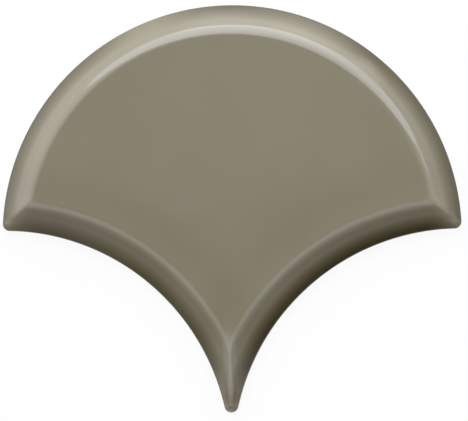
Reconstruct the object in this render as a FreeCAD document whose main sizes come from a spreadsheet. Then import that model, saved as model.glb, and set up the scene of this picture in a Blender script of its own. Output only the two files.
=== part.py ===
"""Fish scale wall tile: one pressed, fired and glazed piece, lying on its back with its face up.

Seen from the face, the crown is half a circle and the two flanks are quarter circles that curve inwards to
a blunt point, so that the crowns of the next row nest in the flanks. A rounded bevel falls from the flat
face to a low upright edge all the way round. It is mitred at the two side corners and along the point.

The origin is at the centre of the crown's circle, on the back. +Y points to the top of the crown and +Z out
of the face. Sizes are in millimetres, slopes in degrees.
"""

import FreeCAD, Part
import math
import os

import Sketcher

NODE = "fish_scale_tile"

SIZES = (
    ("crown_radius", 75.0, "Half circle of the crown, so half of the width"),
    ("flank_radius", 74.0, "Hollow quarter circle of each flank"),
    ("flank_rise", 1.8, "Top of a flank's circle above the crown's centre"),
    ("neck_width", 0.8, "Least distance between the two flank circles"),
    ("corner_round", 2.3, "Rounding of the two side corners, seen from the face"),
    ("point_round", 2.3, "Rounding of the point, seen from the face"),
    ("thickness", 10.0, "From the back to the face"),
    ("bevel_width", 10.6, "From the edge to the flat of the face"),
    ("bevel_slope", 37.0, "Fall of the bevel's straight stretch"),
    ("crest_radius", 6.5, "Rounding between face and bevel"),
    ("roll_radius", 60.0, "Rounding of the bevel's lower stretch"),
    ("roll_slope", 40.0, "Slope at which the lower stretch meets the lip"),
    ("lip_radius", 1.0, "Rounding between bevel and upright edge"),
    ("key_depth", 0.8, "Depth of the channels in the back, which key the adhesive"),
    ("key_width", 7.0, "Width of a channel at the back's surface"),
    ("key_pitch", 12.0, "From one channel to the next"),
    ("key_draft", 30.0, "Lean of a channel's walls"),
    ("key_margin", 9.0, "Plain rim between the channels and the edge"),
    ("overrun", 2.0, "How far the cutting shapes pass the surface that they cut"),
)


def crossing(name, crown_circle, flank_circle):
    """Places that lead to where a circle about the crown's centre crosses one about the right flank's."""
    return (
        (f"{name}_reach", crown_circle),
        (f"{name}_stand", flank_circle),
        (f"{name}_along", f"(centre_gap ^ 2 + {name}_reach ^ 2 - {name}_stand ^ 2) / (2 * centre_gap)"),
        (f"{name}_aside", f"sqrt({name}_reach ^ 2 - {name}_along ^ 2)"),
        (f"{name}_x", f"({name}_along * flank_x + {name}_aside * flank_drop) / centre_gap"),
        (f"{name}_y", f"({name}_aside * flank_x - {name}_along * flank_drop) / centre_gap"),
    )


# Places that follow from the sizes. The crown's centre is the origin, a flank's centre lies at flank_x to
# the side and flank_drop below, and each rounding's centre is where it touches both of its neighbours.
PLACES = (
    ("flank_x", "sizes.flank_radius + sizes.neck_width / 2"),
    ("flank_drop", "sizes.flank_radius - sizes.flank_rise"),
    ("centre_gap", "sqrt(flank_x ^ 2 + flank_drop ^ 2)"),
    *crossing("corner", "sizes.crown_radius - sizes.corner_round", "sizes.flank_radius + sizes.corner_round"),
    ("corner_from", "atan2(-flank_drop - corner_y; flank_x - corner_x)"),
    ("corner_to", "atan2(corner_y; corner_x)"),
    ("corner_sweep", "corner_to - corner_from"),
    ("corner_bearing", "(corner_to + corner_from) / 2"),
    ("point_stand", "sizes.flank_radius + sizes.point_round"),
    ("point_y", "sqrt(point_stand ^ 2 - flank_x ^ 2) - flank_drop"),
    ("point_sweep", "2 * asin(flank_x / point_stand)"),
    ("point_bearing", "-90 deg"),
    ("lip_run", "sizes.lip_radius * (1 - sin(sizes.roll_slope))"),
    ("lip_rise", "sizes.lip_radius * cos(sizes.roll_slope)"),
    ("roll_run", "sizes.roll_radius * (sin(sizes.roll_slope) - sin(sizes.bevel_slope))"),
    ("roll_rise", "sizes.roll_radius * (cos(sizes.bevel_slope) - cos(sizes.roll_slope))"),
    ("crest_run", "sizes.crest_radius * sin(sizes.bevel_slope)"),
    ("crest_rise", "sizes.crest_radius * (1 - cos(sizes.bevel_slope))"),
    ("bevel_run", "sizes.bevel_width - lip_run - roll_run - crest_run"),
    ("bevel_rise", "bevel_run * tan(sizes.bevel_slope)"),
    ("edge_height", "sizes.thickness - lip_rise - roll_rise - bevel_rise - crest_rise"),
    *crossing("key", "sizes.crown_radius - sizes.key_margin", "sizes.flank_radius + sizes.key_margin"),
    ("key_top", "floor(key_reach / sizes.key_pitch) * sizes.key_pitch"),
    ("key_foot", "sqrt(key_stand ^ 2 - flank_x ^ 2) - flank_drop"),
    ("key_lands", "floor((key_top - key_foot) / sizes.key_pitch) + 1"),
)

# How sketches count an edge's points, and what they call their origin and their upright axis
START, END, CENTRE = range(1, 4)
ORIGIN_POINT = (-1, START)
UPRIGHT_AXIS = -2

doc = FreeCAD.newDocument(NODE)


def fill_sheet(name, rows):
    """A sheet with a row for each name: the name, its value in a cell with that alias, and any note."""
    sheet = doc.addObject("Spreadsheet::Sheet", name)
    for number, (alias, value, *notes) in enumerate(rows, start=1):
        cell = f"B{number}"
        sheet.set(f"A{number}", alias)
        sheet.set(cell, f"={value}")
        sheet.setAlias(cell, alias)
        for note in notes:
            sheet.set(f"C{number}", note)
    doc.recompute()
    return sheet


sizes = fill_sheet("sizes", SIZES)
places = fill_sheet("places", PLACES)


def size(name):
    return float(getattr(sizes, name))


def place(name):
    return float(getattr(places, name))


def plane(body, role):
    return next(feature for feature in body.Origin.OriginFeatures if feature.Role == role)


def new_sketch(body, name, role):
    sketch = body.newObject("Sketcher::SketchObject", name)
    sketch.AttachmentSupport = [(plane(body, role), "")]
    sketch.MapMode = "FlatFace"
    return sketch


def point(x, y):
    return FreeCAD.Vector(x, y, 0)


def add_line(sketch, first, last):
    """A line, as its number and the positions of its two ends."""
    return sketch.addGeometry(Part.LineSegment(first, last)), START, END


def add_arc(sketch, first, middle, last):
    """An arc, as its number and the positions of the ends that lie at first and last."""
    if (middle - first).cross(last - middle).z > 0:
        return sketch.addGeometry(Part.Arc(first, middle, last)), START, END
    return sketch.addGeometry(Part.Arc(last, middle, first)), END, START


def on_circle(centre, radius, towards):
    """The point of a circle that lies in the direction of another point."""
    return centre + (towards - centre).normalize() * radius


def constrain(sketch, *terms):
    return sketch.addConstraint(Sketcher.Constraint(*terms))


def bind(sketch, expression, *terms):
    """A dimension whose value comes from the sheets."""
    sketch.setExpression(f"Constraints[{constrain(sketch, *terms)}]", expression)


def bind_point(sketch, number, position, x, y):
    """A point held at its place from the sketch's origin, in x, y or both."""
    here = sketch.getPoint(number, position)
    if x:
        bind(sketch, x, "DistanceX", *ORIGIN_POINT, number, position, here.x)
    if y:
        bind(sketch, y, "DistanceY", *ORIGIN_POINT, number, position, here.y)


def join(sketch, first, second, kind="Coincident"):
    """The end of one edge joined to the start of the next, bluntly or smoothly."""
    constrain(sketch, kind, first[0], first[2], second[0], second[1])


def join_round(sketch, edges):
    for first, second in zip(edges, edges[1:] + edges[:1]):
        join(sketch, first, second)


def mirror(vector):
    return point(-vector.x, vector.y)


def draw_outline(sketch):
    """The tile from above, cut back to the centres of its three roundings, which are turned on later."""
    crown_centre = point(0, 0)
    flank = point(place("flank_x"), -place("flank_drop"))
    corner = point(place("corner_x"), place("corner_y"))
    tip = point(0, place("point_y"))
    crown_end = on_circle(crown_centre, size("crown_radius"), corner)
    flank_top = on_circle(flank, size("flank_radius"), corner)
    flank_foot = on_circle(flank, size("flank_radius"), tip)
    flank_middle = on_circle(flank, size("flank_radius"), (flank_top + flank_foot) * 0.5)

    crown = add_arc(sketch, mirror(crown_end), point(0, size("crown_radius")), crown_end)
    corner_in = add_line(sketch, crown_end, corner)
    corner_out = add_line(sketch, corner, flank_top)
    right_flank = add_arc(sketch, flank_top, flank_middle, flank_foot)
    point_in = add_line(sketch, flank_foot, tip)
    point_out = add_line(sketch, tip, mirror(flank_foot))
    left_flank = add_arc(sketch, mirror(flank_foot), mirror(flank_middle), mirror(flank_top))
    left_corner_in = add_line(sketch, mirror(flank_top), mirror(corner))
    left_corner_out = add_line(sketch, mirror(corner), mirror(crown_end))
    edges = [crown, corner_in, corner_out, right_flank, point_in]
    edges += [point_out, left_flank, left_corner_in, left_corner_out]
    join_round(sketch, edges)

    constrain(sketch, "Coincident", crown[0], CENTRE, *ORIGIN_POINT)
    bind(sketch, "sizes.crown_radius", "Radius", crown[0], size("crown_radius"))
    bind(sketch, "sizes.flank_radius", "Radius", right_flank[0], size("flank_radius"))
    bind_point(sketch, right_flank[0], CENTRE, "places.flank_x", "-places.flank_drop")
    bind_point(sketch, corner_in[0], END, "places.corner_x", "places.corner_y")
    bind_point(sketch, crown[0], crown[2], None, "places.corner_y * sizes.crown_radius / places.corner_reach")
    towards_corner = "(places.corner_x - places.flank_x) * sizes.flank_radius / places.corner_stand"
    bind_point(sketch, right_flank[0], right_flank[1], f"places.flank_x + {towards_corner}", None)
    towards_tip = "(places.point_y + places.flank_drop) * sizes.flank_radius / places.point_stand"
    bind_point(sketch, right_flank[0], right_flank[2], None, f"{towards_tip} - places.flank_drop")
    constrain(sketch, "PointOnObject", point_in[0], END, UPRIGHT_AXIS)
    bind_point(sketch, point_in[0], END, None, "places.point_y")
    for right, left in (
        ((right_flank[0], CENTRE), (left_flank[0], CENTRE)),
        ((right_flank[0], right_flank[1]), (left_flank[0], left_flank[2])),
        ((corner_in[0], END), (left_corner_in[0], END)),
    ):
        constrain(sketch, "Symmetric", *right, *left, UPRIGHT_AXIS)
    constrain(sketch, "Horizontal", right_flank[0], right_flank[2], left_flank[0], left_flank[1])
    constrain(sketch, "Horizontal", crown[0], crown[1], crown[0], crown[2])


def slope_step(radius, steep, gentle):
    """How far in and up an arc of the section goes while it eases from one slope to another."""
    run = radius * (math.sin(math.radians(steep)) - math.sin(math.radians(gentle)))
    rise = radius * (math.cos(math.radians(gentle)) - math.cos(math.radians(steep)))
    return point(run, rise)


def draw_section(sketch, start, inwards, limit):
    """The edge's section from the upright edge at start to the face, or to limit if that comes first.

    inwards is 1 or -1, the way along x that leads from the edge towards the middle of the tile.
    """
    slopes = (90.0, size("roll_slope"), size("bevel_slope"), size("bevel_slope"), 0.0)
    radii = (size("lip_radius"), size("roll_radius"), None, size("crest_radius"))
    runs = (place("lip_run"), place("roll_run"), place("bevel_run"), place("crest_run"))
    pieces = []
    depth = point(0, place("edge_height"))
    for radius, run, steep, gentle in zip(radii, runs, slopes, slopes[1:]):
        left = limit - depth.x
        if radius is None:
            run = min(run, left)
            corners = [depth, depth + point(run, run * math.tan(math.radians(steep)))]
        else:
            if run > left:
                gentle = math.degrees(math.asin(math.sin(math.radians(steep)) - left / radius))
            middle = slope_step(radius, steep, (steep + gentle) / 2)
            corners = [depth, depth + middle, depth + slope_step(radius, steep, gentle)]
        drawn = [point(start + inwards * corner.x, corner.y) for corner in corners]
        pieces.append(add_line(sketch, *drawn) if radius is None else add_arc(sketch, *drawn))
        depth = corners[-1]
        if run >= left:
            break

    for first, second in zip(pieces, pieces[1:]):
        join(sketch, first, second, "Tangent")
    for name, piece in zip(("lip_radius", "roll_radius", None, "crest_radius"), pieces):
        if name:
            bind(sketch, f"sizes.{name}", "Radius", piece[0], size(name))
    lip = pieces[0]
    constrain(sketch, "Horizontal", lip[0], lip[1], lip[0], CENTRE)
    if len(pieces) > 1:
        bind(sketch, "90 - sizes.roll_slope", "Angle", lip[0], math.radians(90 - size("roll_slope")))
    if len(pieces) > 2:
        slope = math.radians(size("bevel_slope"))
        if inwards > 0:
            bind(sketch, "sizes.bevel_slope", "Angle", pieces[2][0], slope)
        else:
            bind(sketch, "180 - sizes.bevel_slope", "Angle", pieces[2][0], math.pi - slope)
    return pieces


def draw_bevel_cut(sketch, radius_name, inwards):
    """What a turned cutter takes off outside the section of the edge, beside a round stretch of outline."""
    radius = size(radius_name)
    beyond = size("overrun")
    pieces = draw_section(sketch, radius, inwards, math.inf)
    lip, crest = pieces[0], pieces[-1]
    constrain(sketch, "Vertical", crest[0], crest[2], crest[0], CENTRE)
    sign = "+" if inwards > 0 else "-"
    bind_point(sketch, crest[0], crest[2], f"sizes.{radius_name} {sign} sizes.bevel_width", "sizes.thickness")
    bind_point(sketch, lip[0], lip[1], f"sizes.{radius_name}", None)

    face_end = sketch.getPoint(crest[0], crest[2])
    lip_start = sketch.getPoint(lip[0], lip[1])
    above = face_end + point(0, beyond)
    outside = point(lip_start.x - inwards * beyond, above.y)
    up = add_line(sketch, face_end, above)
    out = add_line(sketch, above, outside)
    down = add_line(sketch, outside, point(outside.x, lip_start.y))
    back = add_line(sketch, point(outside.x, lip_start.y), lip_start)
    for first, second in ((crest, up), (up, out), (out, down), (down, back), (back, lip)):
        join(sketch, first, second)
    for line in (up, down):
        constrain(sketch, "Vertical", line[0])
    for line in (out, back):
        constrain(sketch, "Horizontal", line[0])
    for line in (up, back):
        bind(sketch, "sizes.overrun", "Distance", line[0], beyond)


def draw_cap(sketch, radius_name):
    """Half of a round corner's section, from its centre line out to the upright edge."""
    radius = size(radius_name)
    pieces = draw_section(sketch, radius, -1, radius)
    lip, last = pieces[0], pieces[-1]
    bind_point(sketch, lip[0], lip[1], f"sizes.{radius_name}", "places.edge_height")
    top = sketch.getPoint(last[0], last[2])
    axis = add_line(sketch, point(0, top.y), point(0, 0))
    base = add_line(sketch, point(0, 0), point(radius, 0))
    wall = add_line(sketch, point(radius, 0), sketch.getPoint(lip[0], lip[1]))
    for first, second in ((last, axis), (axis, base), (base, wall), (wall, lip)):
        join(sketch, first, second)
    constrain(sketch, "PointOnObject", axis[0], START, UPRIGHT_AXIS)
    constrain(sketch, "Coincident", base[0], START, *ORIGIN_POINT)
    constrain(sketch, "Horizontal", base[0])
    constrain(sketch, "Vertical", wall[0])


def set_axis(sketch, x, y, bearing=None):
    """Stands an upright sketch on the axis at x, y of the plan, facing along a bearing."""
    sketch.setExpression("AttachmentOffset.Base.x", x)
    sketch.setExpression("AttachmentOffset.Base.z", f"-({y})")
    if bearing:
        upright = FreeCAD.Rotation(FreeCAD.Vector(0, 1, 0), 1)
        sketch.AttachmentOffset = FreeCAD.Placement(FreeCAD.Vector(), upright)
        sketch.setExpression("AttachmentOffset.Rotation.Angle", bearing)


def turned(body, kind, name, sketch):
    """A Groove or Revolution of a sketch about the sketch's own upright axis."""
    feature = body.newObject(f"PartDesign::{kind}", name)
    feature.Profile = sketch
    feature.ReferenceAxis = (sketch, ["V_Axis"])
    feature.Angle = 360
    return feature


def mirrored(body, name, original):
    feature = body.newObject("PartDesign::Mirrored", name)
    feature.Originals = [original]
    feature.MirrorPlane = (plane(body, "YZ_Plane"), [""])
    body.Tip = feature
    return feature


def add_cap(body, name, radius_name, x, y):
    """The rounding of a corner with the same section as the rest of the edge, turned about its centre."""
    sketch = new_sketch(body, f"{name}_section", "XZ_Plane")
    set_axis(sketch, x, y, f"places.{name}_bearing")
    draw_cap(sketch, radius_name)
    cap = turned(body, "Revolution", f"{name}_cap", sketch)
    cap.Midplane = True
    cap.setExpression("Angle", f"places.{name}_sweep")
    return cap


def make_tile():
    """The tile with a plain back: a flat blank, bevelled round the crown and the flanks, with three caps."""
    body = doc.addObject("PartDesign::Body", "tile")
    outline = new_sketch(body, "outline", "XY_Plane")
    draw_outline(outline)
    blank = body.newObject("PartDesign::Pad", "blank")
    blank.Profile = outline
    blank.setExpression("Length", "sizes.thickness")

    crown_section = new_sketch(body, "crown_section", "XZ_Plane")
    draw_bevel_cut(crown_section, "crown_radius", -1)
    crown_bevel = turned(body, "Groove", "crown_bevel", crown_section)

    flank_section = new_sketch(body, "flank_section", "XZ_Plane")
    set_axis(flank_section, "places.flank_x", "-places.flank_drop")
    draw_bevel_cut(flank_section, "flank_radius", 1)
    flank_bevel = turned(body, "Groove", "flank_bevel", flank_section)
    other_flank = mirrored(body, "other_flank", flank_bevel)

    corner_cap = add_cap(body, "corner", "corner_round", "places.corner_x", "places.corner_y")
    other_corner = mirrored(body, "other_corner", corner_cap)
    point_cap = add_cap(body, "point", "point_round", "0", "places.point_y")
    body.Tip = point_cap
    doc.recompute()
    cuts = [blank, crown_bevel, flank_bevel, other_flank]
    additions = [other_flank, corner_cap, other_corner, point_cap]
    for before, after in zip(cuts, cuts[1:]):
        assert after.Shape.Volume < before.Shape.Volume, f"{after.Name} takes nothing away"
    for before, after in zip(additions, additions[1:]):
        assert after.Shape.Volume > before.Shape.Volume, f"{after.Name} adds nothing"
    return body


def draw_key_field(sketch):
    """The tile's outline drawn in by the plain rim."""
    flank = point(place("flank_x"), -place("flank_drop"))
    corner = point(place("key_x"), place("key_y"))
    foot = point(0, place("key_foot"))
    flank_middle = on_circle(flank, place("key_stand"), (corner + foot) * 0.5)
    crown = add_arc(sketch, mirror(corner), point(0, place("key_reach")), corner)
    right_flank = add_arc(sketch, corner, flank_middle, foot)
    left_flank = add_arc(sketch, foot, mirror(flank_middle), mirror(corner))
    join_round(sketch, [crown, right_flank, left_flank])
    constrain(sketch, "Coincident", crown[0], CENTRE, *ORIGIN_POINT)
    bind(sketch, "places.key_reach", "Radius", crown[0], place("key_reach"))
    bind(sketch, "places.key_stand", "Radius", right_flank[0], place("key_stand"))
    constrain(sketch, "Equal", right_flank[0], left_flank[0])
    bind_point(sketch, right_flank[0], CENTRE, "places.flank_x", "-places.flank_drop")
    constrain(sketch, "Symmetric", right_flank[0], CENTRE, left_flank[0], CENTRE, UPRIGHT_AXIS)


def draw_land(sketch):
    """The section of the land left standing between two channels, wider where it joins the tile."""
    beyond = size("overrun")
    lean = math.tan(math.radians(size("key_draft")))
    half = (size("key_pitch") - size("key_width")) / 2
    low, high = -2 * beyond, size("key_depth") + beyond
    middle = place("key_top")
    corners = [
        point(middle - half - low * lean, low),
        point(middle + half + low * lean, low),
        point(middle + half + high * lean, high),
        point(middle - half - high * lean, high),
    ]
    edges = [add_line(sketch, first, last) for first, last in zip(corners, corners[1:] + corners[:1])]
    join_round(sketch, edges)
    half_land = "(sizes.key_pitch - sizes.key_width) / 2"
    low_text, high_text = "-2 * sizes.overrun", "(sizes.key_depth + sizes.overrun)"
    for (number, start, end), side, level in zip(edges, "-++-", (low_text, low_text, high_text, high_text)):
        across = f"places.key_top {side} ({half_land} + {level} * tan(sizes.key_draft))"
        bind_point(sketch, number, start, across, level)


def make_keying():
    """The channels of the back as one cutter: the area inside the rim, less the lands between channels."""
    body = doc.addObject("PartDesign::Body", "keying")
    field_outline = new_sketch(body, "field_outline", "XY_Plane")
    field_outline.setExpression("AttachmentOffset.Base.z", "-sizes.overrun")
    draw_key_field(field_outline)
    field = body.newObject("PartDesign::Pad", "field")
    field.Profile = field_outline
    field.setExpression("Length", "sizes.key_depth + sizes.overrun")

    land_section = new_sketch(body, "land_section", "YZ_Plane")
    draw_land(land_section)
    land = body.newObject("PartDesign::Pocket", "land")
    land.Profile = land_section
    land.Type = "ThroughAll"
    land.Midplane = True
    lands = body.newObject("PartDesign::LinearPattern", "lands")
    lands.Originals = [land]
    lands.Direction = (plane(body, "Y_Axis"), [""])
    lands.Reversed = True
    lands.Mode = "Spacing"
    lands.setExpression("Offset", "sizes.key_pitch")
    lands.setExpression("Occurrences", "places.key_lands")
    body.Tip = lands
    doc.recompute()
    assert lands.Shape.Volume < land.Shape.Volume < field.Shape.Volume, "the lands take nothing away"
    return body


tile = make_tile()
keying = make_keying()
whole = doc.addObject("Part::Cut", NODE)
whole.Label = NODE
whole.Base = tile
whole.Tool = keying
doc.recompute()

for item in doc.Objects:
    assert not {"Invalid", "Error"} & set(item.State), f"{item.Label} failed: {item.State}"
assert not whole.Shape.isNull() and whole.Shape.isValid(), f"{whole.Label} isn't a sound shape"
assert len(whole.Shape.Solids) == 1, f"{whole.Label} has {len(whole.Shape.Solids)} solids"
assert whole.Shape.Volume < tile.Shape.Volume, "the channels take nothing away"

box = whole.Shape.optimalBoundingBox()
print(f"{whole.Label}: {box.XLength:.2f} x {box.YLength:.2f} x {box.ZLength:.2f} mm,", end=" ")
print(f"edge {place('edge_height'):.2f} mm high, {whole.Shape.Volume / 1000:.1f} cm3")
os.makedirs("parts", exist_ok=True)
whole.Shape.exportStep(f"parts/{whole.Label}.step")
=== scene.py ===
"""Fish scale wall tile, dressed: glaze over the face, the bevel and the edge, bare biscuit on the back.

The tile's surface is worked out from the same sizes as the solid that it stands for. The glaze rounds off
the mitres, gathers along the edge and ends in a rim a little above the back; its colour also carries
painted shade and painted highlights. The tile lies on a pale floor under soft studio light. The camera
looks down on it, from a little to the right and towards the point.
"""

import math

import bmesh
import bpy
import numpy
from mathutils import Matrix, Vector, noise
from mathutils.geometry import delaunay_2d_cdt


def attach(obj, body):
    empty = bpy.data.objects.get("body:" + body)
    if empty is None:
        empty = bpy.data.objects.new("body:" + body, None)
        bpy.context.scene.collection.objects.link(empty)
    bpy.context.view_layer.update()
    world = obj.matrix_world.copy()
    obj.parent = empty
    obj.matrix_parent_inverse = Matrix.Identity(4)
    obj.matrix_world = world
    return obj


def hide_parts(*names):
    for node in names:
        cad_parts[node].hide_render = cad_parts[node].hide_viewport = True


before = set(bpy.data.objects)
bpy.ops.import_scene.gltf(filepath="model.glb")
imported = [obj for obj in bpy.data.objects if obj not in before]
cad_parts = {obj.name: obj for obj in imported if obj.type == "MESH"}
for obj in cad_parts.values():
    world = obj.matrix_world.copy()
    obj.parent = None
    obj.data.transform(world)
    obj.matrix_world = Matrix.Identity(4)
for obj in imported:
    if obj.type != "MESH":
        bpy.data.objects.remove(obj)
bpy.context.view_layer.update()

MM = 0.001

# Sizes of the solid, in millimetres and degrees
CROWN_RADIUS = 75.0
FLANK_RADIUS = 74.0
FLANK_RISE = 1.8
NECK_WIDTH = 0.8
CORNER_ROUND = 2.3
POINT_ROUND = 2.3
THICKNESS = 10.0
BEVEL_WIDTH = 10.6
BEVEL_SLOPE = 37.0
CREST_RADIUS = 6.5
ROLL_RADIUS = 60.0
ROLL_SLOPE = 40.0
LIP_RADIUS = 1.0
KEY_DEPTH = 0.8
KEY_WIDTH = 7.0
KEY_PITCH = 12.0
KEY_DRAFT = 30.0
KEY_MARGIN = 9.0

# Places that follow from them, as x and y in the plan
FLANK_X = FLANK_RADIUS + NECK_WIDTH / 2
FLANK_DROP = FLANK_RADIUS - FLANK_RISE
ORIGIN = (0.0, 0.0)
RIGHT_CENTRE = (FLANK_X, -FLANK_DROP)
LEFT_CENTRE = (-FLANK_X, -FLANK_DROP)

# The glaze's rounding of the mitres, in millimetres: its width at the edge, how much narrower it gets for
# each millimetre inwards, its least width, and the distance over which it begins inside the lip
HIP_ROUND = 6.0
HIP_NARROWS = 0.5
HIP_LEAST = 1.0
HIP_FADE = 3.0

# Where the glaze is thin: the radius of the circle that a height is compared with, in millimetres, and the
# most that it takes of the way to the outline
THIN_REACH = 1.9
THIN_SHARE = 0.8

# Depth of the glaze beyond its usual depth, as a share of it, which darkens the colour; the same measure
# also carries painted shade, and painted highlights where it is negative. Distances are in millimetres,
# bearings in degrees from the top of the crown to the right, and places along the point are measured up
# from its tip.
# Darkening along the rim of the crown, the left flank and the right flank: gathered glaze and partly
# painted shade, with the right flank's stronger than the left's as painted shade
CROWN_POOL_AND_SHADE = 0.80
LEFT_POOL_AND_SHADE = 0.60
RIGHT_POOL_AND_SHADE = 1.10
POOL_REACH = 5.0
POOL_CLEAR = 3.0
POINT_CLEAR = 14.0
CORNER_CLEAR = 9.0
# Less darkening on one stretch of the crown's rim: a painted reflection
PAINTED_REFLECTION_BEARING = -22.0
PAINTED_REFLECTION_SPREAD = 13.0
PAINTED_REFLECTION_SHARE = 0.80
# Darker a little above the point's tip as painted shade, and lighter at its very end as painted light
TIP_PAINTED_SHADE = 0.24
TIP_PLACE = 4.3
TIP_REACH = 2.6
END_PAINTED_LIGHT = 0.45
END_REACH = 1.4
# Lighter along the point's ridge: a painted highlight
RIDGE_PAINTED_HIGHLIGHT = 0.32
RIDGE_PLACE = 16.0
RIDGE_REACH = 8.0
RIDGE_WIDTH = 4.5
# A little darker some way in from each flank
DIP_DARKENING = 0.04
DIP_INSET = 17.0
DIP_REACH = 6.0

# The glaze's rim above the back and the bare edge below it, in millimetres
RIM_HEIGHT = 1.5
RIM_WANDER = 0.35
RIM_WAVE = 14.0
RIM_WAVE_SEED = 3.7
RIM_RIPPLE = 4.0
RIM_RIPPLE_SEED = 9.1
RIM_RIPPLE_SHARE = 0.25
RIM_ROLL = 0.2
BISCUIT_INSET = 0.2
BACK_ROUND = 0.4

# Lamps of the studio: levels where 1 is white, places and sizes in metres, and a turn in degrees
LAMP_COLOUR = (0.915, 0.985, 1.145)
SOFTBOX_LEVEL = 1.85
SOFTBOX_PLACE = (0.14, 0.9525, 0.50)
SOFTBOX_WIDTH = 1.70
SOFTBOX_DEPTH = 1.495
PANEL_LEVEL = 1.5
PANEL_PLACE = (0.615, 0.28, 0.50)
PANEL_WIDTH = 0.17
PANEL_DEPTH = 0.13
STRIP_LEVEL = 0.85
STRIP_PLACE = (0.20, 1.476, 0.49)
STRIP_WIDTH = 2.02
STRIP_DEPTH = 0.448
WINDOW_LEVEL = 0.2
WINDOW_PLACE = (-0.062, 0.025, 0.50)
WINDOW_WIDTH = 0.026
WINDOW_DEPTH = 0.012
WINDOW_TURN = 24.0

# Light of the surroundings: for each wall the direction of its middle, its level, and how squarely a
# direction has to face it for its light to begin and to be full, as cosines
WALL_COLOUR = (1.00, 1.00, 1.00, 1)
DIM_LEVEL = 0.02
LEFT_WALL = ((-0.665, 0.747, 0.0), 1.42, 0.171, 0.566)
RIGHT_WALL = ((0.873, 0.485, 0.054), 0.76, 0.403, 0.667)
FRONT_WALL = ((-0.365, -0.904, 0.225), 0.16, 0.906, 0.996)
GLOW_COLOUR = (0.85, 1.00, 1.25, 1)
BACK_GLOW = ((-0.114, 0.927, 0.358), 0.65, 0.965, 0.993)

# The light overhead is a ring about its middle, on the side of the point only
OVERHEAD = (-0.10, 0.0, 0.995)
OVERHEAD_LEVEL = 0.95
OVERHEAD_OUTSIDE = 0.55
OVERHEAD_FULL = 0.93
OVERHEAD_INSIDE = 1.0
OVERHEAD_FULL_Y = -0.274
OVERHEAD_ENDS_Y = -0.054

# The floor: half its width in metres, its cells along a side, and how white it shows to the camera
FLOOR_HALF = 20.0
FLOOR_CELLS = 8
FLOOR_WHITE = 0.93

# The camera, in metres and degrees, with its sensor in millimetres. The frame's width and the aim are
# measured at the distance of the tile's back.
CAMERA_DISTANCE = 1.0
CAMERA_RIGHT = 5.0
CAMERA_LOW = 1.5
CAMERA_ROLL = -0.22
FRAME_WIDTH = 0.15264
SENSOR_WIDTH = 36.0
AIM_RIGHT = 0.00083
AIM_UP = 0.00815

# How finely the surface is divided, with lengths in millimetres and angles in degrees
CROWN_STEPS = 220
FLANK_STEPS = 110
CORNER_STEPS = 12
POINT_STEPS = 16
END_CLUSTER = 0.85
LIP_STEPS = 7
ROLL_STEPS = 9
BEVEL_STEPS = 5
CREST_STEPS = 14
FACE_STEPS = 16
FACE_CROWDING = 1.4
WALL_STEPS = 4
RIM_STEPS = 4
THIN_DIRECTIONS = 16
CHANNEL_STEPS = 12
CHANNEL_TIP = 0.05
MERGE_DISTANCE = 0.0005
SHARP_ANGLE = 35.0
INSIDE_OUTLINES = 1
PLAN_TOLERANCE = 1e-5

GLAZE_SLOT = 0
BISCUIT_SLOT = 1


def crossing(inset):
    """Where the crown's and the right flank's circles cross when both are drawn in by a distance."""
    reach = CROWN_RADIUS - inset
    stand = FLANK_RADIUS + inset
    gap = math.hypot(FLANK_X, FLANK_DROP)
    along = (gap ** 2 + reach ** 2 - stand ** 2) / (2 * gap)
    aside = math.sqrt(max(reach ** 2 - along ** 2, 0.0))
    x = (along * FLANK_X + aside * FLANK_DROP) / gap
    y = (aside * FLANK_X - along * FLANK_DROP) / gap
    return max(x, 0.0), y


def foot(inset):
    """Where the two flanks' circles cross when both are drawn in by a distance."""
    stand = FLANK_RADIUS + inset
    return 0.0, math.sqrt(stand ** 2 - FLANK_X ** 2) - FLANK_DROP


def mirror(place):
    return -place[0], place[1]


def bearing(start, end):
    return math.atan2(end[1] - start[1], end[0] - start[0])


RIGHT_CORNER = crossing(CORNER_ROUND)
LEFT_CORNER = mirror(RIGHT_CORNER)
POINT = foot(POINT_ROUND)
TIP_Y = POINT[1] - POINT_ROUND
# The place deepest inside the outline, as far from the crown as from both flanks
DEEPEST_Y = (CROWN_RADIUS + FLANK_RADIUS) ** 2 - FLANK_X ** 2 - FLANK_DROP ** 2
DEEPEST_Y /= 2 * (CROWN_RADIUS + FLANK_RADIUS + FLANK_DROP)
DEEPEST = CROWN_RADIUS - DEEPEST_Y


def clustered(steps):
    """Fractions of an arc, its end left out, that lie closer together towards both ends."""
    fractions = numpy.arange(steps) / steps
    return fractions - END_CLUSTER * numpy.sin(2 * math.pi * fractions) / (2 * math.pi)


def arc(centre, radius, first, last, fractions):
    angles = first + (last - first) * fractions
    x = centre[0] + radius * numpy.cos(angles)
    y = centre[1] + radius * numpy.sin(angles)
    return numpy.column_stack((x, y))


def cap(centre, radius, first, last, steps):
    """A rounding, turned anticlockwise. Its points meet in its centre where the radius is used up."""
    last = first + (last - first) % (2 * math.pi)
    return arc(centre, max(radius, 0.0), first, last, numpy.arange(steps) / steps)


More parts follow.
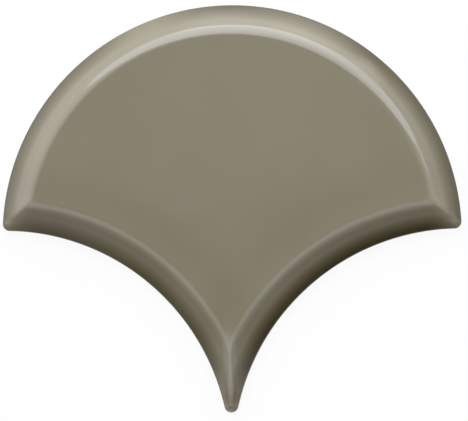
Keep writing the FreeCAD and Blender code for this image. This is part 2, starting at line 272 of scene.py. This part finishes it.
def ring(inset):
    """The tile's outline drawn in by a distance, anticlockwise from the right corner, as x and y."""
    right = crossing(max(inset, CORNER_ROUND))
    left = mirror(right)
    tip = foot(max(inset, POINT_ROUND))
    corner_left = CORNER_ROUND - inset
    point_left = POINT_ROUND - inset
    flank_radius = FLANK_RADIUS + inset
    crown_from = bearing(ORIGIN, right)
    crown_to = bearing(ORIGIN, left)
    return numpy.concatenate((
        arc(ORIGIN, CROWN_RADIUS - inset, crown_from, crown_to, clustered(CROWN_STEPS)),
        cap(left, corner_left, crown_to, bearing(left, LEFT_CENTRE), CORNER_STEPS),
        arc(LEFT_CENTRE, flank_radius, bearing(LEFT_CENTRE, left), bearing(LEFT_CENTRE, tip),
            clustered(FLANK_STEPS)),
        cap(tip, point_left, bearing(tip, LEFT_CENTRE), bearing(tip, RIGHT_CENTRE), POINT_STEPS),
        arc(RIGHT_CENTRE, flank_radius, bearing(RIGHT_CENTRE, tip), bearing(RIGHT_CENTRE, right),
            clustered(FLANK_STEPS)),
        cap(right, corner_left, bearing(right, RIGHT_CENTRE), crown_from, CORNER_STEPS),
    ))


def slope_steps(radius, steep, gentle, steps):
    """Runs and rises along an arc of the section while it eases from one slope to a gentler one."""
    slopes = numpy.radians(numpy.linspace(steep, gentle, steps + 1))
    runs = radius * (numpy.sin(slopes[0]) - numpy.sin(slopes))
    rises = radius * (numpy.cos(slopes) - numpy.cos(slopes[0]))
    return runs, rises


def make_section():
    """The edge's section from lip to face: distances in from the outline, and heights above the back."""
    lip = slope_steps(LIP_RADIUS, 90.0, ROLL_SLOPE, LIP_STEPS)
    roll = slope_steps(ROLL_RADIUS, ROLL_SLOPE, BEVEL_SLOPE, ROLL_STEPS)
    crest = slope_steps(CREST_RADIUS, BEVEL_SLOPE, 0.0, CREST_STEPS)
    bevel_run = BEVEL_WIDTH - sum(part[0][-1] for part in (lip, roll, crest))
    bevel_runs = numpy.linspace(0.0, bevel_run, BEVEL_STEPS + 1)
    bevel = (bevel_runs, bevel_runs * math.tan(math.radians(BEVEL_SLOPE)))
    stretches = (lip, roll, bevel, crest)
    insets = [0.0]
    heights = [THICKNESS - sum(part[1][-1] for part in stretches)]
    for runs, rises in stretches:
        insets.extend(insets[-1] + runs[1:])
        heights.extend(heights[-1] + rises[1:])
    return numpy.array(insets), numpy.array(heights)


SECTION_INSETS, SECTION_HEIGHTS = make_section()
EDGE_HEIGHT = SECTION_HEIGHTS[0]
LIP_RUN = SECTION_INSETS[LIP_STEPS]


def make_caps():
    """Each rounding's centre, radius, the bearing that it faces and half of its sweep."""
    corner_to = bearing(ORIGIN, RIGHT_CORNER)
    corner_from = bearing(RIGHT_CORNER, RIGHT_CENTRE)
    corner_faces = (corner_from + corner_to) / 2
    corner_half = (corner_to - corner_from) / 2
    point_half = math.asin(FLANK_X / (FLANK_RADIUS + POINT_ROUND))
    return (
        (RIGHT_CORNER, CORNER_ROUND, corner_faces, corner_half),
        (LEFT_CORNER, CORNER_ROUND, math.pi - corner_faces, corner_half),
        (POINT, POINT_ROUND, -math.pi / 2, point_half),
    )


CAPS = make_caps()
# How far from a rounding's centre its sector counts, in radii
CAP_REACH = 2


def side_insets(x, y):
    """How far in from the circles of the crown, the left flank and the right flank places lie."""
    sides = [CROWN_RADIUS - numpy.hypot(x, y)]
    for centre in (LEFT_CENTRE, RIGHT_CENTRE):
        sides.append(numpy.hypot(x - centre[0], y - centre[1]) - FLANK_RADIUS)
    return numpy.array(sides)


def inset_at(x, y):
    """How far in from the outline places lie."""
    inset = side_insets(x, y).min(axis=0)
    for centre, radius, faces, half in CAPS:
        away_x = x - centre[0]
        away_y = y - centre[1]
        away = numpy.hypot(away_x, away_y)
        towards = away_x * math.cos(faces) + away_y * math.sin(faces)
        in_cap = (towards > away * math.cos(half)) & (away < CAP_REACH * radius)
        inset = numpy.where(in_cap, radius - away, inset)
    return inset


def hip_share(x, y, width):
    """How close to a mitre places lie: 1 on it, 0 where one side is nearer than the other by a width."""
    nearest, second, _ = numpy.sort(side_insets(x, y), axis=0)
    return numpy.clip(1.0 - (second - nearest) / width, 0.0, 1.0)


def glazed_height(x, y):
    """Height of the glazed surface.

    At a mitre it follows a smooth minimum of the distances from both sides, a wider one towards the edge.
    """
    inset = inset_at(x, y)
    width = numpy.maximum(HIP_ROUND - HIP_NARROWS * inset, HIP_LEAST)
    fade = numpy.clip((inset - LIP_RUN) / HIP_FADE, 0.0, 1.0)
    lower = fade * width / 4 * hip_share(x, y, width) ** 2
    return numpy.interp(inset - lower, SECTION_INSETS, SECTION_HEIGHTS)


def height_round(x, y, reach):
    """Mean height on a circle about each place, no wider than the outline allows."""
    reach = numpy.minimum(reach, THIN_SHARE * numpy.maximum(inset_at(x, y), 0.0))
    total = numpy.zeros_like(x)
    for angle in numpy.arange(THIN_DIRECTIONS) * 2 * math.pi / THIN_DIRECTIONS:
        total += glazed_height(x + reach * math.cos(angle), y + reach * math.sin(angle))
    return total / THIN_DIRECTIONS


def rim_height(x, y):
    """Height at which the glaze ends on the upright edge. It wanders a little."""
    wave = noise.noise(Vector((x / RIM_WAVE, y / RIM_WAVE, RIM_WAVE_SEED)))
    ripple = noise.noise(Vector((x / RIM_RIPPLE, y / RIM_RIPPLE, RIM_RIPPLE_SEED)))
    return RIM_HEIGHT + RIM_WANDER * ((1.0 - RIM_RIPPLE_SHARE) * wave + RIM_RIPPLE_SHARE * ripple)


def surface_rings():
    """Rings of points from the middle of the face out, down the edge and round to the back.

    Each comes with whether the strip that leads to it is glazed.
    """
    rings = []
    inwards = (numpy.arange(FACE_STEPS, 0, -1) / FACE_STEPS) ** FACE_CROWDING
    face = BEVEL_WIDTH + (DEEPEST - BEVEL_WIDTH) * inwards
    for inset in [*face, *SECTION_INSETS[:0:-1]]:
        plan = ring(inset)
        rings.append((numpy.column_stack((plan, glazed_height(plan[:, 0], plan[:, 1]))), True))
    outline = ring(0.0)
    ends = numpy.array([rim_height(x, y) for x, y in outline])
    for share in numpy.linspace(0.0, 1.0, WALL_STEPS + 1):
        rings.append((numpy.column_stack((outline, EDGE_HEIGHT + share * (ends - EDGE_HEIGHT))), True))
    for turn in numpy.linspace(0.0, math.pi / 2, RIM_STEPS + 1)[1:]:
        plan = ring(RIM_ROLL * (1 - math.cos(turn)))
        rings.append((numpy.column_stack((plan, ends - RIM_ROLL * math.sin(turn))), True))
    for turn in numpy.linspace(0.0, math.pi / 2, RIM_STEPS + 1):
        plan = ring(BISCUIT_INSET + BACK_ROUND * (1 - math.cos(turn)))
        heights = numpy.full(len(plan), BACK_ROUND * (1 - math.sin(turn)))
        rings.append((numpy.column_stack((plan, heights)), False))
    return rings


def channel_outline(low, high):
    """The plan of a channel between two heights up the plan, ending at the plain rim on both sides."""
    levels = numpy.linspace(low, high, CHANNEL_STEPS + 1)
    reach = CROWN_RADIUS - KEY_MARGIN
    stand = FLANK_RADIUS + KEY_MARGIN
    beside_crown = numpy.sqrt(numpy.maximum(reach ** 2 - levels ** 2, 0.0))
    beside_flank = FLANK_X - numpy.sqrt(numpy.maximum(stand ** 2 - (levels + FLANK_DROP) ** 2, 0.0))
    corner_y = crossing(KEY_MARGIN)[1]
    halves = numpy.where(levels > corner_y, beside_crown, beside_flank)
    right = numpy.column_stack((halves, levels))
    left = numpy.column_stack((-halves, levels))[::-1]
    return numpy.concatenate((right, left))


def channel_spans():
    """Lowest and highest y of each channel at the back's surface, between the lands and the plain rim.

    The outermost ones end a little short of where they would come to a point.
    """
    top = CROWN_RADIUS - KEY_MARGIN - CHANNEL_TIP
    bottom = foot(KEY_MARGIN)[1] + CHANNEL_TIP
    half_land = (KEY_PITCH - KEY_WIDTH) / 2
    land = top // KEY_PITCH * KEY_PITCH
    spans = []
    high = top
    while land > bottom:
        spans.append((land + half_land, high))
        high = land - half_land
        land -= KEY_PITCH
    spans.append((bottom, high))
    return spans


def add_loop(bm, plan, height):
    return [bm.verts.new((x * MM, y * MM, height * MM)) for x, y in plan]


def add_back(bm, border):
    """The flat back inside its border, with the keying channels sunk into it."""
    lean = KEY_DEPTH * math.tan(math.radians(KEY_DRAFT))
    corners = list(border)
    outlines = [range(len(border))]
    faces = []
    for low, high in channel_spans():
        mouth = add_loop(bm, channel_outline(low, high), 0.0)
        floor = add_loop(bm, channel_outline(low + lean, high - lean), KEY_DEPTH)
        for number, corner in enumerate(mouth):
            after = (number + 1) % len(mouth)
            faces.append(bm.faces.new((corner, mouth[after], floor[after], floor[number])))
        faces.append(bm.faces.new(floor))
        outlines.append(range(len(corners), len(corners) + len(mouth)))
        corners += mouth
    plan = [corner.co.xy / MM for corner in corners]
    filled = delaunay_2d_cdt(plan, [], outlines, INSIDE_OUTLINES, PLAN_TOLERANCE)
    _, _, triangles, sources, _, owners = filled
    # A triangle over a channel belongs to the channel's outline too, and is left out
    for triangle, owner in zip(triangles, owners):
        if owner == [0]:
            faces.append(bm.faces.new([corners[sources[number][0]] for number in triangle]))
    for face in faces:
        face.material_index = BISCUIT_SLOT


def build_tile():
    bm = bmesh.new()
    rows = []
    for points, glazed in surface_rings():
        rows.append(([bm.verts.new(place * MM) for place in points], glazed))
    for (inner, _), (outer, glazed) in zip(rows, rows[1:]):
        for number in range(len(inner)):
            after = (number + 1) % len(inner)
            face = bm.faces.new((inner[number], outer[number], outer[after], inner[after]))
            face.material_index = GLAZE_SLOT if glazed else BISCUIT_SLOT
            face.smooth = True
    border = rows[-1][0]
    add_back(bm, border)
    bmesh.ops.remove_doubles(bm, verts=bm.verts, dist=MERGE_DISTANCE * MM)
    bmesh.ops.recalc_face_normals(bm, faces=bm.faces)
    mesh = bpy.data.meshes.new("glazed_tile")
    bm.to_mesh(mesh)
    bm.free()
    mesh.set_sharp_from_angle(angle=math.radians(SHARP_ANGLE))
    add_glaze_measures(mesh)
    tile = bpy.data.objects.new("glazed_tile", mesh)
    bpy.context.scene.collection.objects.link(tile)
    return tile


def hump(value, middle, reach):
    """A smooth rise to 1 at the middle, mostly within the reach on either side."""
    return numpy.exp(-((value - middle) / reach) ** 2)


def grown(distance, reach):
    """A share that grows evenly from 0 to 1 over a reach."""
    return numpy.clip(distance / reach, 0.0, 1.0)


def glaze_pool_and_painted_light(x, y):
    """How much deeper than elsewhere the glaze is, and the painted shade and highlights that it carries.

    It gathers along the rim and runs off the mitres, the corners and the point. The rim's darkening is
    partly painted shade, more of it on the right flank than on the left, and less of it on one stretch of
    the crown is a painted reflection. A little above the point's tip it is painted shade; the point's
    ridge and the tip's end are lighter as painted highlights. It is also a little darker a little inside
    the flanks' crests.
    """
    sides = side_insets(x, y)
    # gap marks the lighter stretch of the crown's rim, a painted reflection
    gap = hump(numpy.degrees(numpy.arctan2(x, y)), PAINTED_REFLECTION_BEARING, PAINTED_REFLECTION_SPREAD)
    from_corner = numpy.hypot(numpy.abs(x) - RIGHT_CORNER[0], y - RIGHT_CORNER[1])
    flank = grown(from_corner, CORNER_CLEAR)
    # Along the rim the darkening is gathered glaze and partly painted shade, stronger on the right flank
    # as painted shade
    along = (CROWN_POOL_AND_SHADE * (1.0 - PAINTED_REFLECTION_SHARE * gap), LEFT_POOL_AND_SHADE * flank, RIGHT_POOL_AND_SHADE * flank)
    rim = numpy.choose(sides.argmin(axis=0), along)
    rim *= numpy.clip(1.0 - inset_at(x, y) / POOL_REACH, 0.0, 1.0) * (1.0 - hip_share(x, y, POOL_CLEAR))
    rim *= grown(numpy.hypot(x - POINT[0], y - POINT[1]), POINT_CLEAR)
    above = y - TIP_Y
    # Painted shade a little above the point's tip, and painted light at its very end
    tip = TIP_PAINTED_SHADE * hump(above, TIP_PLACE, TIP_REACH) - END_PAINTED_LIGHT * hump(above, 0.0, END_REACH)
    # Painted highlight along the point's ridge
    ridge = RIDGE_PAINTED_HIGHLIGHT * hump(above, RIDGE_PLACE, RIDGE_REACH) * hip_share(x, y, RIDGE_WIDTH)
    # A little darker some way in from each flank
    dips = DIP_DARKENING * hump(sides[1:], DIP_INSET, DIP_REACH).sum(axis=0)
    return rim + tip - ridge + dips


def glaze_thin(x, y):
    """How sharply the surface bulges, where the glaze runs thin. It counts less towards the tip."""
    bulge = (glazed_height(x, y) - height_round(x, y, THIN_REACH)) / THIN_REACH
    return bulge * grown(y - TIP_Y, POINT_CLEAR)


def add_glaze_measures(mesh):
    """Where the glaze runs thin over a rounded edge, and where it gathers, with painted shade and
    highlights.
    """
    places = numpy.empty(len(mesh.vertices) * 3)
    mesh.vertices.foreach_get("co", places)
    x, y, z = places.reshape(-1, 3).T / MM
    on_top = z > EDGE_HEIGHT
    measures = {"thin": numpy.where(on_top, glaze_thin(x, y), 0.0), "pool_and_painted_light": glaze_pool_and_painted_light(x, y)}
    for name, values in measures.items():
        attribute = mesh.attributes.new(name, "FLOAT", "POINT")
        attribute.data.foreach_set("value", values.astype(numpy.float32))


class Nodes:
    """The node tree of a material or of the world, built one node at a time."""

    def __init__(self, owner):
        owner.use_nodes = True
        self.owner = owner
        self.tree = owner.node_tree
        self.tree.nodes.clear()

    @classmethod
    def for_material(cls, name):
        return cls(bpy.data.materials.new(name))

    @classmethod
    def for_world(cls, name):
        bpy.context.scene.world = bpy.data.worlds.new(name)
        return cls(bpy.context.scene.world)

    def add(self, kind, inputs=None, **settings):
        node = self.tree.nodes.new(f"ShaderNode{kind}")
        for name, value in settings.items():
            setattr(node, name, value)
        for name, value in (inputs or {}).items():
            self.feed(node.inputs[name], value)
        return node

    def feed(self, socket, value):
        if isinstance(value, bpy.types.NodeSocket):
            self.tree.links.new(value, socket)
        else:
            socket.default_value = value

    def noise(self, scale, detail=2.0, rough=0.5):
        place = self.add("TexCoord").outputs["Object"]
        inputs = {"Vector": place, "Scale": scale, "Detail": detail, "Roughness": rough}
        return self.add("TexNoise", inputs).outputs["Fac"]

    def spread(self, value, low, high, to_low=0.0, to_high=1.0):
        inputs = {"Value": value, "From Min": low, "From Max": high, "To Min": to_low, "To Max": to_high}
        return self.add("MapRange", inputs, interpolation_type="SMOOTHSTEP").outputs["Result"]

    def cloud(self, scale, detail, to_low=0.0, to_high=1.0):
        """Noise, with the range that it mostly keeps to spread out."""
        return self.spread(self.noise(scale, detail), 0.3, 0.7, to_low, to_high)

    def mix(self, factor, first, second):
        node = self.add("Mix", data_type="RGBA")
        sockets = {socket.identifier: socket for socket in node.inputs}
        for key, value in (("Factor_Float", factor), ("A_Color", first), ("B_Color", second)):
            self.feed(sockets[key], value)
        return next(socket for socket in node.outputs if socket.identifier == "Result_Color")

    def multiply(self, first, second):
        return self.add("Math", {0: first, 1: second}, operation="MULTIPLY").outputs[0]

    def plus(self, first, second):
        return self.add("Math", {0: first, 1: second}, operation="ADD").outputs[0]

    def facing(self, towards, middle):
        return self.add("VectorMath", {0: towards, 1: middle}, operation="DOT_PRODUCT").outputs["Value"]

    def measure(self, name):
        return self.add("Attribute", attribute_name=name).outputs["Fac"]

    def finish(self, shader):
        self.add("OutputMaterial", {"Surface": shader.outputs[0]})
        return self.owner


def make_glaze():
    """Glossy taupe glaze, darker where it is deep and where shade is painted, paler where it runs thin
    over an edge and where highlights are painted.
    """
    dark = (0.234, 0.206, 0.140, 1)
    light = (0.248, 0.219, 0.149, 1)
    over_edge = (0.400, 0.380, 0.300, 1)
    nodes = Nodes.for_material("taupe_glaze")
    colour = nodes.mix(nodes.cloud(scale=28.0, detail=3.0), dark, light)
    # The glaze's depth here also carries painted shade and painted highlights
    depth = nodes.plus(nodes.measure("pool_and_painted_light"), 1.0)
    colour = nodes.add("Gamma", {"Color": colour, "Gamma": depth}).outputs[0]
    thin = nodes.spread(nodes.measure("thin"), low=0.03, high=0.12, to_high=0.15)
    colour = nodes.mix(thin, colour, over_edge)
    gloss = nodes.cloud(scale=60.0, detail=4.0, to_low=0.05, to_high=0.09)
    ripple = nodes.add("Bump", {"Height": nodes.noise(scale=260.0), "Strength": 0.05, "Distance": 0.0002})
    shader = nodes.add("BsdfPrincipled", {
        "Base Color": colour,
        "Roughness": gloss,
        "IOR": 1.65,
        "Specular IOR Level": 0.533,
        "Normal": ripple.outputs["Normal"],
    })
    return nodes.finish(shader)


def make_biscuit():
    """Chalky fired clay with fine darker specks."""
    dark = (0.62, 0.55, 0.44, 1)
    light = (0.70, 0.64, 0.53, 1)
    speck = (0.42, 0.34, 0.25, 1)
    nodes = Nodes.for_material("biscuit")
    colour = nodes.mix(nodes.cloud(scale=45.0, detail=4.0), dark, light)
    grain = nodes.noise(scale=2200.0, detail=3.0, rough=0.7)
    specks = nodes.spread(grain, low=0.62, high=0.72, to_high=0.5)
    colour = nodes.mix(specks, colour, speck)
    chalk = nodes.cloud(scale=300.0, detail=4.0, to_low=0.75, to_high=0.95)
    rough = nodes.add("Bump", {"Height": grain, "Strength": 0.35, "Distance": 0.00025})
    shader = nodes.add("BsdfPrincipled", {
        "Base Color": colour,
        "Roughness": chalk,
        "Normal": rough.outputs["Normal"],
    })
    return nodes.finish(shader)


def make_floor():
    """Pale matt floor that shows nearly white to the camera and in gloss, and still takes a shadow."""
    dull = (0.90, 0.90, 0.90, 1)
    bright = (0.92, 0.92, 0.92, 1)
    nodes = Nodes.for_material("pale_floor")
    colour = nodes.mix(nodes.cloud(scale=6.0, detail=3.0), dull, bright)
    diffuse = nodes.add("BsdfDiffuse", {"Color": colour})
    white = nodes.add("Emission", {"Color": (1, 1, 1, 1), "Strength": 1.0})
    path = nodes.add("LightPath").outputs
    seen = nodes.plus(path["Is Camera Ray"], path["Is Glossy Ray"])
    seen = nodes.plus(seen, path["Is Transmission Ray"])
    share = nodes.multiply(seen, FLOOR_WHITE)
    mixed = nodes.add("MixShader", {0: share, 1: diffuse.outputs[0], 2: white.outputs[0]})
    return nodes.finish(mixed)


def add_floor():
    bm = bmesh.new()
    bmesh.ops.create_grid(bm, x_segments=FLOOR_CELLS, y_segments=FLOOR_CELLS, size=FLOOR_HALF)
    mesh = bpy.data.meshes.new("studio_floor")
    bm.to_mesh(mesh)
    bm.free()
    mesh.materials.append(make_floor())
    floor = bpy.data.objects.new("studio_floor", mesh)
    bpy.context.scene.collection.objects.link(floor)


def add_lamp(name, shape, place, width, depth, level, turn=0.0):
    """A soft lamp that faces down. Its level is the brightness of its surface, where 1 is white."""
    light = bpy.data.lights.new(name, "AREA")
    light.shape = shape
    light.size = width
    light.size_y = depth
    surface = width * depth * (math.pi / 4 if shape == "ELLIPSE" else 1.0)
    light.energy = level * math.pi * surface
    light.color = LAMP_COLOUR
    lamp = bpy.data.objects.new(name, light)
    lamp.location = place
    lamp.rotation_euler.z = math.radians(turn)
    bpy.context.scene.collection.objects.link(lamp)


def wall_level(nodes, towards, wall):
    middle, level, begins, full = wall
    return nodes.spread(nodes.facing(towards, middle), begins, full, to_high=level)


def overhead_level(nodes, towards):
    up = nodes.facing(towards, OVERHEAD)
    y = nodes.add("SeparateXYZ", {"Vector": towards}).outputs["Y"]
    around = nodes.spread(up, OVERHEAD_FULL, OVERHEAD_INSIDE, 1.0, 0.0)
    within = nodes.spread(up, OVERHEAD_OUTSIDE, OVERHEAD_FULL)
    this_side = nodes.spread(y, OVERHEAD_FULL_Y, OVERHEAD_ENDS_Y, OVERHEAD_LEVEL, 0.0)
    return nodes.multiply(nodes.multiply(around, within), this_side)


def light_world():
    """Dim surroundings with pale walls, a light overhead and a cool glow at the back."""
    nodes = Nodes.for_world("studio")
    towards = nodes.add("TexCoord").outputs["Generated"]
    level = nodes.plus(overhead_level(nodes, towards), DIM_LEVEL)
    for wall in (LEFT_WALL, RIGHT_WALL, FRONT_WALL):
        level = nodes.plus(level, wall_level(nodes, towards, wall))
    walls = nodes.add("Background", {"Color": WALL_COLOUR, "Strength": level})
    glow_level = wall_level(nodes, towards, BACK_GLOW)
    glow = nodes.add("Background", {"Color": GLOW_COLOUR, "Strength": glow_level})
    studio = nodes.add("AddShader", {0: walls.outputs[0], 1: glow.outputs[0]})
    nodes.add("OutputWorld", {"Surface": studio.outputs[0]})


def add_camera():
    """Above the tile, a little to its right and on the point's side, with the crown up in the picture."""
    aside = math.tan(math.radians(CAMERA_RIGHT))
    down = math.tan(math.radians(CAMERA_LOW))
    back = Vector((aside, -down, 1.0)).normalized()
    right = Vector((0.0, 1.0, 0.0)).cross(back).normalized()
    up = back.cross(right)
    turned = Matrix((right, up, back)).transposed() @ Matrix.Rotation(math.radians(CAMERA_ROLL), 3, "Z")
    data = bpy.data.cameras.new("camera")
    data.sensor_width = SENSOR_WIDTH
    data.lens = SENSOR_WIDTH * CAMERA_DISTANCE / FRAME_WIDTH
    camera = bpy.data.objects.new("camera", data)
    camera.location = AIM_RIGHT * right + AIM_UP * up + CAMERA_DISTANCE * back
    camera.rotation_euler = turned.to_euler()
    bpy.context.scene.collection.objects.link(camera)
    bpy.context.scene.camera = camera


tile = build_tile()
tile.data.materials.append(make_glaze())
tile.data.materials.append(make_biscuit())
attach(tile, "root")
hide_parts("fish_scale_tile")

add_floor()
add_lamp("softbox", "ELLIPSE", SOFTBOX_PLACE, SOFTBOX_WIDTH, SOFTBOX_DEPTH, SOFTBOX_LEVEL)
add_lamp("panel", "RECTANGLE", PANEL_PLACE, PANEL_WIDTH, PANEL_DEPTH, PANEL_LEVEL)
add_lamp("strip", "RECTANGLE", STRIP_PLACE, STRIP_WIDTH, STRIP_DEPTH, STRIP_LEVEL)
add_lamp("window", "RECTANGLE", WINDOW_PLACE, WINDOW_WIDTH, WINDOW_DEPTH, WINDOW_LEVEL, WINDOW_TURN)
light_world()
add_camera()
bpy.context.scene.view_settings.view_transform = "Standard"
